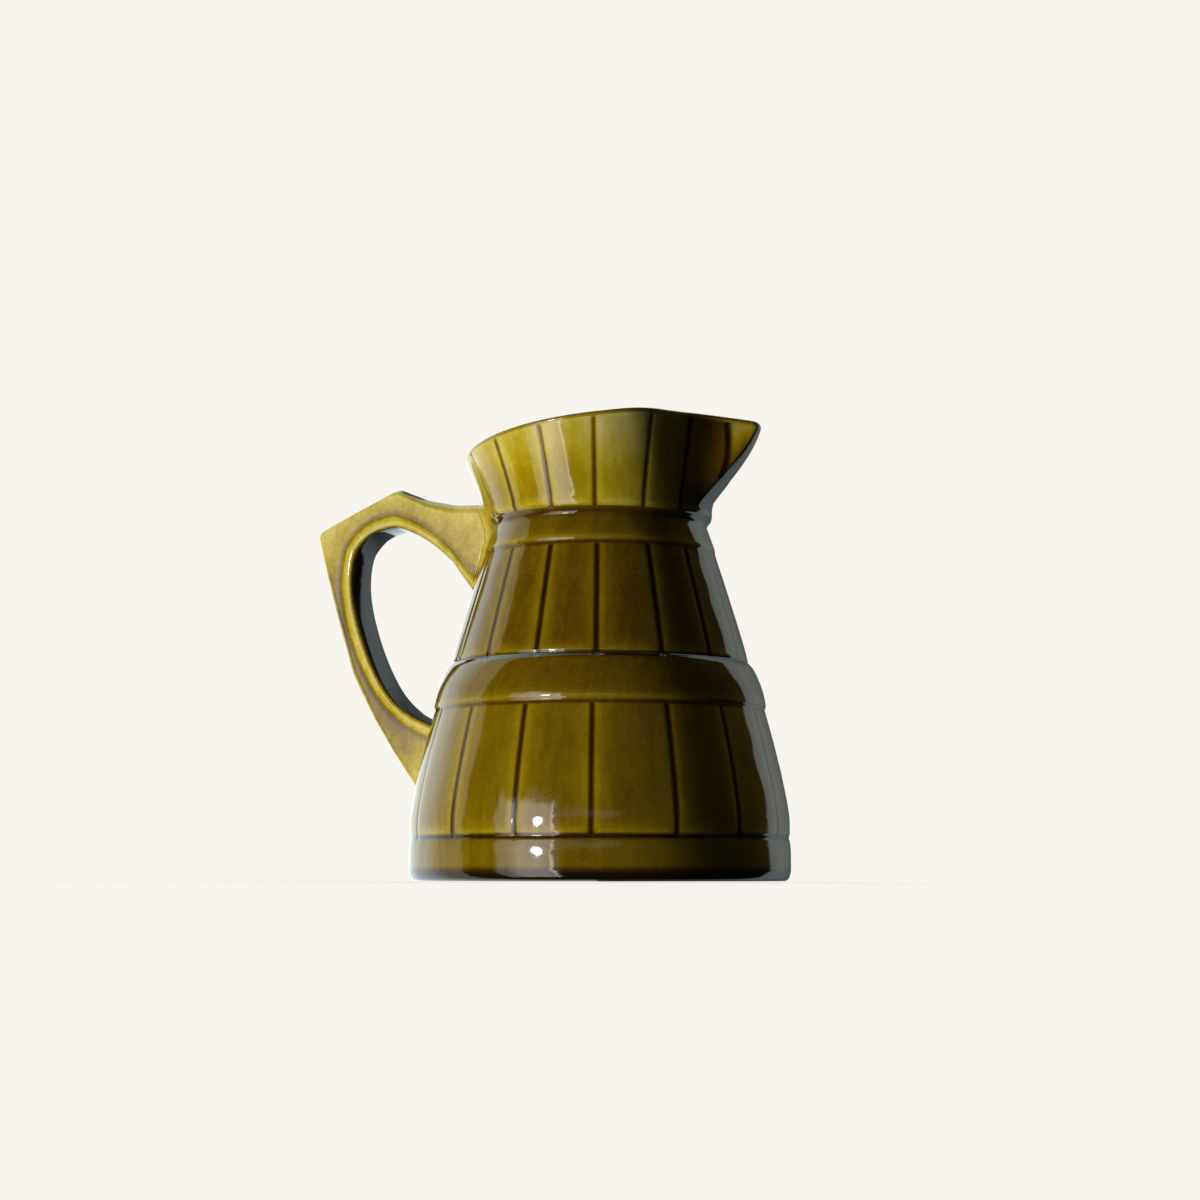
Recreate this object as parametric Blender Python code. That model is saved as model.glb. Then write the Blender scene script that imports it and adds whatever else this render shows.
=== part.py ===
"""A small barrel-shaped table jug of glazed earthenware.

The wall imitates a wooden tub: sixteen staves in three tiers, held by three smooth bands. The mouth
rises towards a pinched, pointed spout on +X. An angular handle stands on -X, stuck to the wall with
two beds of casting slip. The origin is the centre of the flat underside, and +Z points up.
"""

import math

import bmesh
import bpy

MM = 0.001

# ---- driving dimensions, in millimetres ------------------------------------------------------------
STAVES = 16
STAVE_ANGLE = 2.0 * math.pi / STAVES
# Joints that stand off the even spacing, in degrees, numbered from the spout. Both sides match.
JOINT_SHIFTS = {1: -1.5, 2: -2.2, 14: 2.2, 15: 1.5}
GROOVE_HALF_WIDTH = 1.1
GROOVE_DEPTH = 0.75

BASE_RADIUS = 60.2
UNDERSIDE_RADIUS = 58.4
FOOT_BAND_TOP = 13.4
BELLY_BAND_BOTTOM, BELLY_BAND_TOP = 54.4, 68.2
NECK_BAND_BOTTOM, NECK_BAND_TOP = 104.6, 113.3
LOWER_TIER_SWELL, SWELL_START = 7.8, 18.5
CONE_FOOT_RADIUS = 52.6
CONE_TAPER = 0.313
BAND_RELIEF, BELLY_BULGE = 0.35, 0.9
CREASE_DEPTH = 0.5
MIDDLE_TIER_INSET = 0.6

MOUTH_TIER_BOTTOM = 114.9
MOUTH_TIER_RADIUS = 35.6
RIM_MEAN_HEIGHT, RIM_RISE, RIM_SAG = 140.5, 5.7, 0.7
RIM_SHOULDER, RIM_SHOULDER_ANGLE, RIM_SHOULDER_SPREAD = 0.4, 46.0, 14.0
MOUTH_RADIUS, MOUTH_OVAL = 43.2, 2.4
PINCH, PINCH_ANGLE, PINCH_SPREAD = 3.0, 28.0, 18.0
SPOUT_REACH, SPOUT_SPREAD, SPOUT_BLUNT = 13.2, 5.0, 2.0
CREST_HALF_ANGLE, CREST_WIDENING = 0.8, 6.5
SPOUT_DROOP = 2.1
LIP_ROUND = 1.3

FLOOR_HEIGHT = 5.5
WALL = 4.6
RIM_WALL = 3.4

HANDLE_HALF_WIDTH = 7.0
SLIP_GAP = 0.35
SLIP_THICKNESS = 3.0
HANDLE_OFFSET = SLIP_THICKNESS + 2.0 * SLIP_GAP

OLIVE_GLAZE = (0.125, 0.095, 0.006)
AMBER_GLAZE = (0.300, 0.230, 0.045)
SLIP_GLAZE = (0.080, 0.062, 0.010)

# Distance from the jug's axis and height, for pairs of points across the handle: outer edge, inner edge.
HANDLE_STATIONS = (
    ((41.0, 122.8), (41.0, 94.5)),
    ((50.5, 123.2), (50.5, 104.0)),
    ((61.0, 125.6), (60.5, 112.1)),
    ((71.4, 129.9), (70.0, 116.5)),
    ((73.8, 129.6), (73.5, 116.8)),
    ((88.2, 123.7), (81.0, 115.4)),
    ((102.4, 117.5), (85.9, 111.2)),
    ((103.2, 115.6), (87.9, 107.5)),
    ((99.9, 102.3), (88.8, 99.0)),
    ((95.9, 88.3), (87.1, 88.5)),
    ((89.2, 67.8), (82.0, 74.2)),
    ((80.1, 52.0), (75.4, 62.6)),
    ((71.8, 40.0), (67.8, 55.4)),
    ((63.0, 27.0), (59.0, 50.4)),
)
HANDLE_STEPS = 3
# Across the handle's section: share of the way from the outer to the inner edge, and half-width.
HANDLE_SECTION = ((0.0, 4.6), (0.12, 6.2), (0.30, 6.8), (0.66, 6.7), (0.78, 7.0), (0.92, 6.4), (1.0, 4.8))
HANDLE_COLUMNS = (-1.0, -0.5, 0.0, 0.5, 1.0)


# ---- the wall's shape ------------------------------------------------------------------------------
def trunk_radius(z):
    """Outer radius below the mouth tier, before bands, creases and grooves."""
    if z < BELLY_BAND_BOTTOM:
        rise = max(0.0, z - SWELL_START) / (BELLY_BAND_BOTTOM - SWELL_START)
        return BASE_RADIUS - LOWER_TIER_SWELL * rise ** 1.3
    inset = MIDDLE_TIER_INSET * math.exp(-(z - BELLY_BAND_TOP) / 7.0) if z > BELLY_BAND_TOP else 0.0
    return CONE_FOOT_RADIUS - CONE_TAPER * (z - BELLY_BAND_BOTTOM) - inset


def rim_height(angle):
    toward_spout = math.cos(angle)
    level = RIM_MEAN_HEIGHT + RIM_RISE * toward_spout - RIM_SAG * toward_spout ** 2
    degrees = abs(math.degrees(math.remainder(angle, 2.0 * math.pi)))
    level += RIM_SHOULDER * math.exp(-((degrees - RIM_SHOULDER_ANGLE) / RIM_SHOULDER_SPREAD) ** 2)
    return level - SPOUT_DROOP * spout_falloff(angle, SPOUT_BLUNT, CREST_HALF_ANGLE)


def spout_falloff(angle, blunt, crest):
    """1 on the spout's crest, crest degrees to each side, and falling away beside it."""
    degrees = abs(math.degrees(math.remainder(angle, 2.0 * math.pi)))
    return math.exp(-(math.hypot(max(0.0, degrees - crest), blunt) - blunt) / SPOUT_SPREAD)


def mouth_radius(angle):
    """The rim's outline without the spout: a slight oval, pinched on both sides of the spout."""
    degrees = abs(math.degrees(math.remainder(angle, 2.0 * math.pi)))
    pinch = PINCH * math.exp(-((degrees - PINCH_ANGLE) / PINCH_SPREAD) ** 2)
    return MOUTH_RADIUS + MOUTH_OVAL * math.sin(angle) ** 2 - pinch


def mouth_tier_point(angle, share):
    """Radius and height on the mouth tier, share running from its foot (0) to the rim (1)."""
    flare = 0.85 * share + 0.15 * share ** 2
    lift = math.sin(0.5 * math.pi * max(0.0, share - 0.06) / 0.94) ** 1.1
    radius = MOUTH_TIER_RADIUS + (mouth_radius(angle) - MOUTH_TIER_RADIUS) * flare
    crest = CREST_HALF_ANGLE + CREST_WIDENING * (1.0 - share)
    radius += SPOUT_REACH * lift * spout_falloff(angle, SPOUT_BLUNT, crest)
    return radius, MOUTH_TIER_BOTTOM + (rim_height(angle) - MOUTH_TIER_BOTTOM) * share


def surface_radius(angle, z):
    """Outer radius at any height, bands included and grooves left out."""
    if z >= MOUTH_TIER_BOTTOM:
        share = (z - MOUTH_TIER_BOTTOM) / (rim_height(angle) - MOUTH_TIER_BOTTOM)
        return mouth_tier_point(angle, share)[0]
    profile = [(height, radius) for height, radius, _ in trunk_rows()]
    profile.append((MOUTH_TIER_BOTTOM, MOUTH_TIER_RADIUS))
    for (low, low_radius), (high, high_radius) in zip(profile, profile[1:]):
        if low <= z <= high:
            return low_radius + (high_radius - low_radius) * (z - low) / (high - low)
    return UNDERSIDE_RADIUS


def trunk_rows():
    """Rows of the outside below the mouth tier: height, radius and the groove's share of its depth."""
    rows = [(0.0, UNDERSIDE_RADIUS, 0), (0.5, BASE_RADIUS - 0.8, 0), (1.7, BASE_RADIUS, 0)]
    rows += [(z, BASE_RADIUS + 0.2, 0) for z in (5.0, 9.0)]
    rows += [(FOOT_BAND_TOP - 1.2, BASE_RADIUS, 0), (FOOT_BAND_TOP, BASE_RADIUS - CREASE_DEPTH, 0)]
    rows += [(FOOT_BAND_TOP + 1.2, BASE_RADIUS - 0.1, 1)]
    rows += [(z, trunk_radius(z), 1) for z in (18.0, 23.0, 28.0, 33.0, 38.0, 43.0, 48.0, 52.0)]
    bands = ((BELLY_BAND_BOTTOM, BELLY_BAND_TOP, BELLY_BULGE), (NECK_BAND_BOTTOM, NECK_BAND_TOP, 0.0))
    for bottom, top, bulge in bands:
        rows += [(bottom - 0.7, trunk_radius(bottom - 0.7), 0)]
        for share in (0.05, 0.27, 0.5, 0.73, 0.9):
            z = bottom + (top - bottom) * share
            relief = BAND_RELIEF * (1.0 - share) + bulge * 4.0 * share * (1.0 - share)
            rows += [(z, trunk_radius(z) + relief, 0)]
        rows += [(top, trunk_radius(top) - CREASE_DEPTH, 0)]
        if top == BELLY_BAND_TOP:
            rows += [(top + 1.1, trunk_radius(top + 1.1), 1)]
            rows += [(z, trunk_radius(z), 1) for z in (74.0, 81.0, 88.0, 95.0, 101.5)]
    rows += [(NECK_BAND_TOP + 0.9, MOUTH_TIER_RADIUS - 0.8, 0)]
    return rows


def ring_angles(radius):
    """Angles round one ring: each stave's groove, its two shoulders and two points on its panel."""
    shoulder = GROOVE_HALF_WIDTH / radius
    angles = []
    for stave in range(STAVES):
        start, end = joint_angle(stave), joint_angle(stave + 1)
        width = end - start
        angles += [start, start + shoulder, start + 0.36 * width, start + 0.64 * width, end - shoulder]
    return angles


def joint_angle(index):
    """Angle of the joint before a stave, counted from the spout."""
    return index * STAVE_ANGLE + math.radians(JOINT_SHIFTS.get(index % STAVES, 0.0))


def is_groove(column):
    return column % 5 == 0


# ---- mesh helpers ----------------------------------------------------------------------------------
def polar(radius, angle, z):
    return (radius * math.cos(angle) * MM, radius * math.sin(angle) * MM, z * MM)


def add_ring(mesh, points):
    return [mesh.verts.new(point) for point in points]


def bridge(mesh, first, second):
    """Quads between two rings of equal length, facing out when second lies above first."""
    for index, corner in enumerate(first):
        after = (index + 1) % len(first)
        mesh.faces.new((corner, first[after], second[after], second[index]))


def close_disc(mesh, ring, centre_height, flip):
    centre = mesh.verts.new((0.0, 0.0, centre_height * MM))
    for index, corner in enumerate(ring):
        following = ring[(index + 1) % len(ring)]
        mesh.faces.new((following, corner, centre) if flip else (corner, following, centre))


def glaze(name, colour, roughness):
    material = bpy.data.materials.new(name)
    material.use_nodes = True
    shader = material.node_tree.nodes["Principled BSDF"]
    shader.inputs["Base Color"].default_value = (*colour, 1.0)
    shader.inputs["Roughness"].default_value = roughness
    shader.inputs["Metallic"].default_value = 0.0
    shader.inputs["Coat Weight"].default_value = 0.6
    return material


def finish(name, mesh, material):
    """Turns a bmesh into a named, smooth-shaded object."""
    bmesh.ops.recalc_face_normals(mesh, faces=mesh.faces)
    data = bpy.data.meshes.new(name)
    mesh.to_mesh(data)
    mesh.free()
    data.materials.append(material)
    data.shade_smooth()
    data.set_sharp_from_angle(angle=math.radians(35.0))
    node = bpy.data.objects.new(name, data)
    bpy.context.scene.collection.objects.link(node)
    return node


# ---- body ------------------------------------------------------------------------------------------
def outside_rings():
    rings = []
    for z, radius, groove in trunk_rows():
        rings.append([polar(radius - (GROOVE_DEPTH * groove if is_groove(column) else 0.0), angle, z)
                      for column, angle in enumerate(ring_angles(radius))])
    for share in (0.0, 0.16, 0.34, 0.52, 0.70, 0.86):
        ring = []
        for column, angle in enumerate(ring_angles(MOUTH_TIER_RADIUS + 8.0 * share)):
            radius, z = mouth_tier_point(angle, share)
            grooved = is_groove(column) and column > 0
            ring.append(polar(radius - (0.8 * GROOVE_DEPTH if grooved else 0.0), angle, z))
        rings.append(ring)
    return rings


def inner_mouth_radius(angle, share):
    """The wall thickens behind the spout's slanting faces, so the spout's channel is blunter."""
    outer, _ = mouth_tier_point(angle, share)
    wall = WALL + (RIM_WALL - WALL) * share
    return outer - wall - 2.2 * share * spout_falloff(angle, 2.0 * SPOUT_BLUNT, CREST_HALF_ANGLE)


def lip_rings():
    """Over the rim, from the outside to the inside."""
    rings = []
    for across, down in ((0.0, LIP_ROUND), (0.12, 0.35), (0.5, 0.0), (0.88, 0.35), (1.0, LIP_ROUND)):
        ring = []
        for angle in ring_angles(MOUTH_RADIUS):
            outer, top = mouth_tier_point(angle, 1.0)
            inner = inner_mouth_radius(angle, 1.0)
            ring.append(polar(outer + (inner - outer) * across, angle, top - down))
        rings.append(ring)
    return rings


def inside_rings():
    """Down the inside, from below the lip to the floor."""
    rings = []
    for share in (0.7, 0.4, 0.1):
        ring = []
        for angle in ring_angles(MOUTH_TIER_RADIUS + 8.0 * share):
            _, z = mouth_tier_point(angle, share)
            ring.append(polar(inner_mouth_radius(angle, share), angle, z))
        rings.append(ring)
    for z in (115.0, 110.0, 100.0, 86.0, 70.0, 56.0, 44.0, 32.0, 20.0, 12.0):
        radius = trunk_radius(z) - WALL
        rings.append([polar(radius, angle, z) for angle in ring_angles(radius)])
    for radius, z in ((BASE_RADIUS - WALL - 2.2, 7.6), (BASE_RADIUS - WALL - 8.0, FLOOR_HEIGHT)):
        rings.append([polar(radius, angle, z) for angle in ring_angles(radius)])
    return rings


def make_body():
    mesh = bmesh.new()
    rings = [add_ring(mesh, ring) for ring in outside_rings() + lip_rings() + inside_rings()]
    for first, second in zip(rings, rings[1:]):
        bridge(mesh, first, second)
    close_disc(mesh, rings[0], 0.0, flip=True)
    close_disc(mesh, rings[-1], FLOOR_HEIGHT, flip=False)
    return finish("body", mesh, glaze("olive_glaze", OLIVE_GLAZE, 0.12))


# ---- handle ----------------------------------------------------------------------------------------
def catmull(points, index, share):
    """A point on the smooth curve through points, between index and index + 1."""
    before, start = points[max(index - 1, 0)], points[index]
    end, after = points[index + 1], points[min(index + 2, len(points) - 1)]
    result = []
    for p0, p1, p2, p3 in zip(before, start, end, after):
        slope_in, slope_out = 0.5 * (p2 - p0), 0.5 * (p3 - p1)
        value = (2 * share ** 3 - 3 * share ** 2 + 1) * p1 + (3 * share ** 2 - 2 * share ** 3) * p2
        value += (share ** 3 - 2 * share ** 2 + share) * slope_in + (share ** 3 - share ** 2) * slope_out
        result.append(value)
    return tuple(result)


def straight(points, index, share):
    return tuple(a + (b - a) * share for a, b in zip(points[index], points[index + 1]))


def handle_edges():
    """Outer and inner edge of every cross-section, from the upper root to the lower one."""
    outer = [pair[0] for pair in HANDLE_STATIONS]
    inner = [pair[1] for pair in HANDLE_STATIONS]
    edges = []
    for index in range(len(outer) - 1):
        for step in range(HANDLE_STEPS):
            share = step / HANDLE_STEPS
            edges.append((straight(outer, index, share), catmull(inner, index, share)))
    edges.append((outer[-1], inner[-1]))
    return edges


def on_root(y, z):
    """Distance from the axis plane where the handle's end faces the slip bed."""
    x, _, _ = bed_point(y, z, HANDLE_OFFSET)
    return -x / MM


def section_lattice(mesh, outer, inner, at_root):
    lattice = []
    for share, half_width in HANDLE_SECTION:
        reach = outer[0] + (inner[0] - outer[0]) * share
        z = outer[1] + (inner[1] - outer[1]) * share
        row = []
        for column in HANDLE_COLUMNS:
            y = half_width * column
            s = on_root(y, z) if at_root else reach
            edge = share in (0.0, 1.0)
            row.append(mesh.verts.new((-s * MM, y * MM, z * MM))
                       if at_root or edge or abs(column) == 1.0 else None)
        lattice.append(row)
    return lattice


def perimeter(lattice):
    """The lattice's outer loop: out along the first row, down a side, back, and up."""
    loop = list(lattice[0]) + [row[-1] for row in lattice[1:-1]]
    return loop + list(reversed(lattice[-1])) + [row[0] for row in reversed(lattice[1:-1])]


def cap(mesh, lattice):
    for upper, lower in zip(lattice, lattice[1:]):
        for column in range(len(upper) - 1):
            mesh.faces.new((upper[column], upper[column + 1], lower[column + 1], lower[column]))


def make_handle():
    mesh = bmesh.new()
    edges = handle_edges()
    lattices = []
    for index, (outer, inner) in enumerate(edges):
        lattices.append(section_lattice(mesh, outer, inner, index in (0, len(edges) - 1)))
    loops = [perimeter(lattice) for lattice in lattices]
    for first, second in zip(loops, loops[1:]):
        bridge(mesh, first, second)
    cap(mesh, lattices[0])
    cap(mesh, lattices[-1])
    return finish("handle", mesh, glaze("amber_glaze", AMBER_GLAZE, 0.15))


# ---- slip beds -------------------------------------------------------------------------------------
def bed_point(y, z, offset):
    """A point over the wall, clear of the bands' edges just above and below it."""
    angle = math.pi - math.asin(y / surface_radius(math.pi, z))
    radius = max(surface_radius(angle, z + reach) for reach in (-1.5, -0.8, 0.0, 0.8, 1.5)) + offset
    return (radius * math.cos(angle) * MM, radius * math.sin(angle) * MM, z * MM)


def bed_grid(mesh, low, high, half_width, offset):
    """Rows of points over the root's outline, rounded towards its top and bottom."""
    rows = []
    for row in range(15):
        along = row / 14.0
        z = low + (high - low) * along
        width = half_width * math.sqrt(1.0 - 0.72 * (2.0 * along - 1.0) ** 4)
        rows.append([mesh.verts.new(bed_point(width * column / 4.0, z, offset)) for column in range(-4, 5)])
    return rows


def grid_border(rows):
    loop = list(rows[0]) + [row[-1] for row in rows[1:-1]]
    return loop + list(reversed(rows[-1])) + [row[0] for row in reversed(rows[1:-1])]


def make_slip_bed(name, low, high, material):
    mesh = bmesh.new()
    back = bed_grid(mesh, low - 2.0, high + 2.0, HANDLE_HALF_WIDTH + 3.6, SLIP_GAP)
    front = bed_grid(mesh, low, high, HANDLE_HALF_WIDTH + 0.4, SLIP_GAP + SLIP_THICKNESS)
    cap(mesh, back)
    cap(mesh, front)
    bridge(mesh, grid_border(back), grid_border(front))
    return finish(name, mesh, material)


# ---- assembly --------------------------------------------------------------------------------------
def main():
    for old in list(bpy.data.objects):
        bpy.data.objects.remove(old, do_unlink=True)
    slip = glaze("slip_glaze", SLIP_GLAZE, 0.15)
    pieces = [make_body(), make_handle()]
    upper, lower = HANDLE_STATIONS[0], HANDLE_STATIONS[-1]
    pieces.append(make_slip_bed("upper_luting_slip", upper[1][1] - 0.6, upper[0][1] + 0.6, slip))
    pieces.append(make_slip_bed("lower_luting_slip", lower[0][1] - 0.6, lower[1][1] + 0.6, slip))
    jug = bpy.data.objects.new("jug", None)
    bpy.context.scene.collection.objects.link(jug)
    for piece in pieces:
        piece.parent = jug


main()
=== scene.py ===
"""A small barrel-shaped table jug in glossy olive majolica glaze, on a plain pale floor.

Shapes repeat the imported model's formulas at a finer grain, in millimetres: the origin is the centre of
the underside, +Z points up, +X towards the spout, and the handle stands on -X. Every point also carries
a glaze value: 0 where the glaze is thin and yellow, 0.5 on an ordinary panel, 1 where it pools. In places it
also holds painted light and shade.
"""

import math

import bmesh
import bpy
import numpy as np
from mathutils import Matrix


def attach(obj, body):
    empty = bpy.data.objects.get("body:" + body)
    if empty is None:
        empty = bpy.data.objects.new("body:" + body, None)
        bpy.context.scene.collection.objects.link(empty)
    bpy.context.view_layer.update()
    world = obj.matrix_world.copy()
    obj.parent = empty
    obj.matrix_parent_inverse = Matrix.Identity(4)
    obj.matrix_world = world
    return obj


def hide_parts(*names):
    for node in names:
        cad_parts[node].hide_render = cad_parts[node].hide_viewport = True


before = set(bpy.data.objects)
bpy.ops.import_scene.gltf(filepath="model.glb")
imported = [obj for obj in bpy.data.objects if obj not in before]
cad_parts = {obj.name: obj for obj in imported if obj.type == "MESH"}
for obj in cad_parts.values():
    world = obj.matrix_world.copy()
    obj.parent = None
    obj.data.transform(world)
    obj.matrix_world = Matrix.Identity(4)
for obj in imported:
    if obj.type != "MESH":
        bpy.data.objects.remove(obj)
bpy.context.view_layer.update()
MM = 0.001

# ---- the wall, in millimetres ----------------------------------------------------------------------
STAVES = 16
STAVE_ANGLE = 2.0 * math.pi / STAVES
# Joints that stand off the even spacing, in degrees, numbered from the spout.
JOINT_SHIFTS = {1: -1.5, 2: -2.2, 14: 2.2, 15: 1.5}
JOINT_ANGLES = [index * STAVE_ANGLE + math.radians(JOINT_SHIFTS.get(index % STAVES, 0.0))
                for index in range(STAVES + 1)]
BASE_RADIUS, UNDERSIDE_RADIUS = 60.2, 58.4
# The second of these tops the dark band round the foot: pooled glaze deepened with painted shade.
FOOT_BAND_TOP, FOOT_POOL_AND_SHADE_TOP, FOOT_ROUND = 13.4, 3.4, 3.0
BELLY_BAND = (54.4, 68.2)
NECK_BAND = (104.6, 113.3)
LOWER_TIER_SWELL, SWELL_START, SWELL_POWER = 7.8, 18.5, 1.3
FOOT_BAND_SWELL, FOOT_SWELL_START, FOOT_SWELL_END = 0.2, (1.0, 4.0), (9.0, 12.5)
CONE_FOOT_RADIUS, CONE_TAPER = 52.6, 0.313
BAND_RELIEF, BELLY_BULGE, LEDGE_HALF_HEIGHT = 0.35, 0.9, 0.9
CREASE_DEPTH, NECK_CREASE_DEPTH, CREASE_SPREAD = 0.36, 0.144, 0.85
MIDDLE_TIER_INSET, INSET_FADE = 0.6, 7.0
MIDDLE_TIER_TWIST, TWIST_START, TWIST_END = math.radians(1.1), (57.0, 67.0), (105.5, 113.0)
MOUTH_TIER_BOTTOM, MOUTH_TIER_RADIUS = 114.9, 35.6
NECK_BLEND = (NECK_BAND[1] - 1.3, MOUTH_TIER_BOTTOM + 0.4)
MOUTH_FOOT_BULGE, MOUTH_FOOT_BULGE_RISE, MOUTH_FOOT_BULGE_SPREAD = 0.35, 1.3, 1.4
RIM_MEAN_HEIGHT, RIM_RISE, RIM_SAG = 140.5, 5.7, 0.7
RIM_SHOULDER, RIM_SHOULDER_ANGLE, RIM_SHOULDER_SPREAD = 0.4, 46.0, 14.0
MOUTH_RADIUS, MOUTH_OVAL, FLARE_STRAIGHT, FLARE_CURVED = 43.2, 2.4, 0.85, 0.15
PINCH, PINCH_ANGLE, PINCH_SPREAD = 3.0, 28.0, 18.0
SPOUT_REACH, SPOUT_SPREAD, SPOUT_BLUNT = 13.2, 5.0, 2.0
SPOUT_START, SPOUT_LIFT_POWER, SPOUT_INNER_FILL = 0.06, 1.1, 2.2
CREST_HALF_ANGLE, CREST_WIDENING = 0.8, 6.5
SPOUT_DROOP = 2.1
SPOUT_PANEL_APEX, SPOUT_PANEL_ANGLE, BELOW_APEX = 0.38, math.radians(7.6), 26.0
LIP_ROUND, TIP_ROUND = 1.3, 1.2
WALL, RIM_WALL, FLOOR_HEIGHT = 4.6, 3.4, 5.5
UNEVENNESS = 0.05

# Grooves stop GROOVE_END short of the edge above them. SHOULDER_DIP is the wide, shallow dip beside them.
GROOVE_DEPTH, GROOVE_WIDTH, MOUTH_GROOVE_WIDTH = 0.13, 0.95, 0.65
GROOVE_END, SHOULDER_DIP, NO_GROOVE = 2.3, 0.08, 99.0

# Points of a ring beside each groove, in mm, then the gap left round them and the spout's own spacing.
BESIDE_GROOVE, GROOVE_CLEARANCE = (0.0, 0.3, 0.6, 0.9, 1.3, 2.0), 3.3
SPOUT_TIP_DEGREES, SPOUT_TIP_STEP, RING_FLARE = 12.0, 0.3, 8.0
# Rings of the trunk: from, to and step in height. Rings inside it: heights, then the corner with the
# floor as distance in from the wall and height.
TRUNK_STEPS = ((0.0, 1.8, 0.3), (1.8, 4.0, 0.8), (4.0, 6.0, 0.4), (6.0, 12.0, 1.5), (12.0, 15.2, 0.25),
               (15.2, 50.4, 1.7), (50.4, 56.6, 0.3), (56.6, 66.2, 1.5), (66.2, 70.4, 0.25),
               (70.4, 100.8, 1.7), (100.8, 107.0, 0.3), (107.0, 112.4, 1.2),
               (112.4, MOUTH_TIER_BOTTOM, 0.2))
INNER_HEIGHTS = (115.0, 111.0, 104.0, 96.0, 88.0, 80.0, 72.0, 64.0, 56.0, 50.0, 44.0, 37.0, 30.0, 22.0,
                 15.0, 11.0)
INNER_CORNER = ((0.5, 9.0), (2.2, 7.4), (5.0, 6.0), (8.0, FLOOR_HEIGHT), (30.0, FLOOR_HEIGHT))

# ---- glaze values ----------------------------------------------------------------------------------
TRUNK_GLAZE, MOUTH_GLAZE, LIP_GLAZE = 0.54, 0.31, 0.30
INNER_MOUTH_GLAZE, INNER_TRUNK_GLAZE, SLIP_GLAZE = 0.42, 0.45, 0.42
# The last of these darkens the handle's inner face nearly to black: painted shade.
SIDE_GLAZE, OUTER_EDGE_GLAZE, INNER_FACE_SHADE_GLAZE = 0.13, 0.14, 0.90
# Half-width of the dark line in a groove, in mm, and how softly it ends.
GROOVE_POOL, MOUTH_GROOVE_POOL, SPOUT_GROOVE_POOL, POOL_SOFTNESS = 0.74, 0.60, 0.80, 0.24
# Pools in the trunk's creases and under its ledges: height, spread in mm, and how much is added.
CREASE_POOLS = ((FOOT_BAND_TOP, 0.75, 0.46), (BELLY_BAND[1], 0.8, 0.46), (NECK_BAND[1] + 0.1, 0.9, 0.15),
                (BELLY_BAND[0] - 1.1, 0.6, 0.16), (NECK_BAND[0] - 1.1, 0.6, 0.16))

# ---- the handle ------------------------------------------------------------------------------------
# Pairs across the handle: outer edge, inner edge (distance from the axis, height), and how far the
# side is rounded off towards the outer edge.
HANDLE_STATIONS = (
    ((41.0, 122.8), (41.0, 94.5), 3.0),
    ((50.5, 123.2), (50.5, 104.0), 3.0),
    ((61.0, 125.6), (60.5, 112.1), 2.6),
    ((71.4, 129.9), (70.0, 116.5), 1.8),
    ((73.8, 129.6), (73.5, 116.8), 1.6),
    ((88.2, 123.7), (81.0, 115.4), 1.6),
    ((102.4, 117.5), (85.9, 111.2), 2.0),
    ((103.2, 115.6), (87.9, 107.5), 2.4),
    ((99.9, 102.3), (88.8, 99.0), 3.2),
    ((95.9, 88.3), (87.1, 88.5), 3.2),
    ((89.2, 67.8), (82.0, 74.2), 3.0),
    ((80.1, 52.0), (75.4, 62.6), 2.8),
    ((71.8, 40.0), (67.8, 55.4), 2.6),
    ((63.0, 27.0), (59.0, 50.4), 2.6),
)
HANDLE_STEPS = 20
FACE_HALF_WIDTH, OUTER_HALF_WIDTH, INNER_HALF_WIDTH = 6.7, 4.2, 5.4
BEAD_HALF_WIDTH, BEAD_REACH, BEAD_CREST = 7.0, 4.4, 1.8
VALLEY, VALLEY_DEPTH = 4.8, 0.10
OUTER_SOFTENING, INNER_SOFTENING = 14, 90
HANDLE_UNEVENNESS, HANDLE_WOBBLE_SCALE = 0.035, 1.7
ROOT_OFFSET, ROOT_OVERLAP = 3.7, 0.4
FILLET, FILLET_GAP, FILLET_TOP, BURIED = 1.9, 0.03, 0.3, 2.2

# ---- the view, the room and the lights -------------------------------------------------------------
CAMERA_AZIMUTH = math.radians(25.0)
CAMERA_DISTANCE, CAMERA_HEIGHT, CAMERA_PITCH = 0.7373, 0.0015, math.radians(6.82)
CAMERA_LENS, CAMERA_SENSOR = 69.3, 36.0
TOWARD_CAMERA = (math.sin(CAMERA_AZIMUTH), -math.cos(CAMERA_AZIMUTH), 0.0)
TO_THE_RIGHT = (math.cos(CAMERA_AZIMUTH), math.sin(CAMERA_AZIMUTH), 0.0)
PALE = (0.940, 0.905, 0.855)
FLOOR_COLOUR, FLOOR_GLOW, FLOOR_REACH = (0.55, 0.53, 0.50), 0.754, 30.0

# Bands of the room in the glaze's mirror: angles round it, soft edge, then light. The angles, in degrees,
# start at the camera's side and are negative to its left.
LEFT_WALL = ((-200.0, -90.0, 1.0, (0.72, 0.73, 0.50)), (-200.0, -118.0, 9.0, (0.61, 0.76, 1.02)))
RIGHT_WALL = ((90.0, 200.0, 1.0, (0.100, 0.125, 0.130)), (90.0, 160.0, 9.0, (0.07, 0.082, 0.082)),
              (90.0, 149.0, 9.0, (0.19, 0.22, 0.225)), (90.0, 136.0, 9.0, (0.16, 0.185, 0.19)))
WINDOW = ((-65.0, -28.0, 1.0, (1.0, 0.97, 0.95)), (-53.0, -28.0, 5.0, (1.3, 1.25, 1.22)),
          (-28.6, -27.0, 0.4, (3.6, 3.5, 3.4)))
FAR_LAMP = ((-27.0, 11.0, 2.0, (0.24, 0.24, 0.26)),)
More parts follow.
